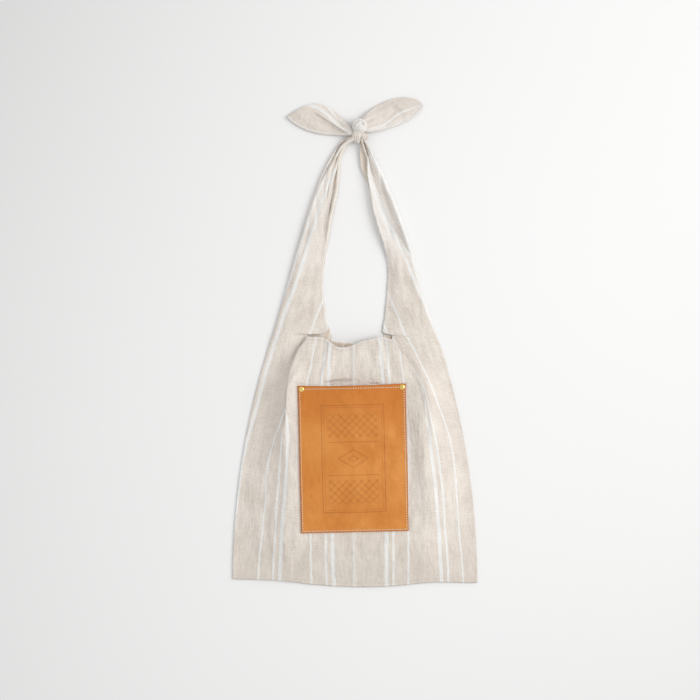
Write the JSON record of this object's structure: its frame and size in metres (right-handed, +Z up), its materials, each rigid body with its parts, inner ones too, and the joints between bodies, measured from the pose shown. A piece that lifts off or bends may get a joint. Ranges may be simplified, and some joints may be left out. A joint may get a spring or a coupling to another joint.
{
  "type": "shoulder bag",
  "caption": "Natural linen shoulder bag with pale stripes, a tan leather patch pocket with brass rivets, and straps tied in a knot.",
  "frame": {"origin": "the middle of the bag's flat back, on the surface that it lies on, halfway between the bottom seam and the mouth", "axes": "+X runs across the bag to the right in the picture, +Y runs from the bottom seam to the knot, +Z points up off the surface through the front"},
  "size_m": [0.354, 0.7045, 0.0298],
  "materials": {
    "linen_cloth": "slubby plain-woven natural linen with narrow pale warp stripes, matt",
    "linen_hem": "the same linen folded over and topstitched, matt",
    "tan_leather": "vegetable-tanned leather with fine grain and a soft satin sheen",
    "brass": "polished brass"
  },
  "bodies": {
    "bag": {"left_half": "linen_cloth", "right_half": "linen_cloth", "front_centre_seam": "linen_hem", "back_centre_seam": "linen_hem", "bottom_seam_allowance": "linen_hem", "front_mouth_hem": "linen_hem", "back_mouth_hem": "linen_hem", "pocket_panel": "tan_leather", "left_rivet_cap": "brass", "right_rivet_cap": "brass", "left_rivet_back": "brass", "right_rivet_back": "brass"},
    "handle": {"left_strap": "linen_cloth", "right_strap": "linen_cloth", "left_strap_hem": "linen_hem", "right_strap_hem": "linen_hem", "knot_core": "linen_cloth", "knot_wrap": "linen_cloth"},
    "left_tail_body": {"left_tail": "linen_cloth"},
    "right_tail_body": {"right_tail": "linen_cloth"}
  },
  "joints": [
    {"name": "handle_fold", "type": "hinge", "parent": "bag", "child": "handle", "pos_m": [0, 0.17315, 0.0145], "axis": [1, 0, 0], "range_deg": [0, 160]},
    {"name": "left_tail_lift", "type": "hinge", "parent": "handle", "child": "left_tail_body", "pos_m": [-0.0069, 0.4812, 0.0111], "axis": [0.2588, 0.9659, 0], "range_deg": [0, 80]},
    {"name": "right_tail_lift", "type": "hinge", "parent": "handle", "child": "right_tail_body", "pos_m": [0.0171, 0.4946, 0.0111], "axis": [0.2874, -0.9578, 0], "range_deg": [0, 80]}
  ]
}
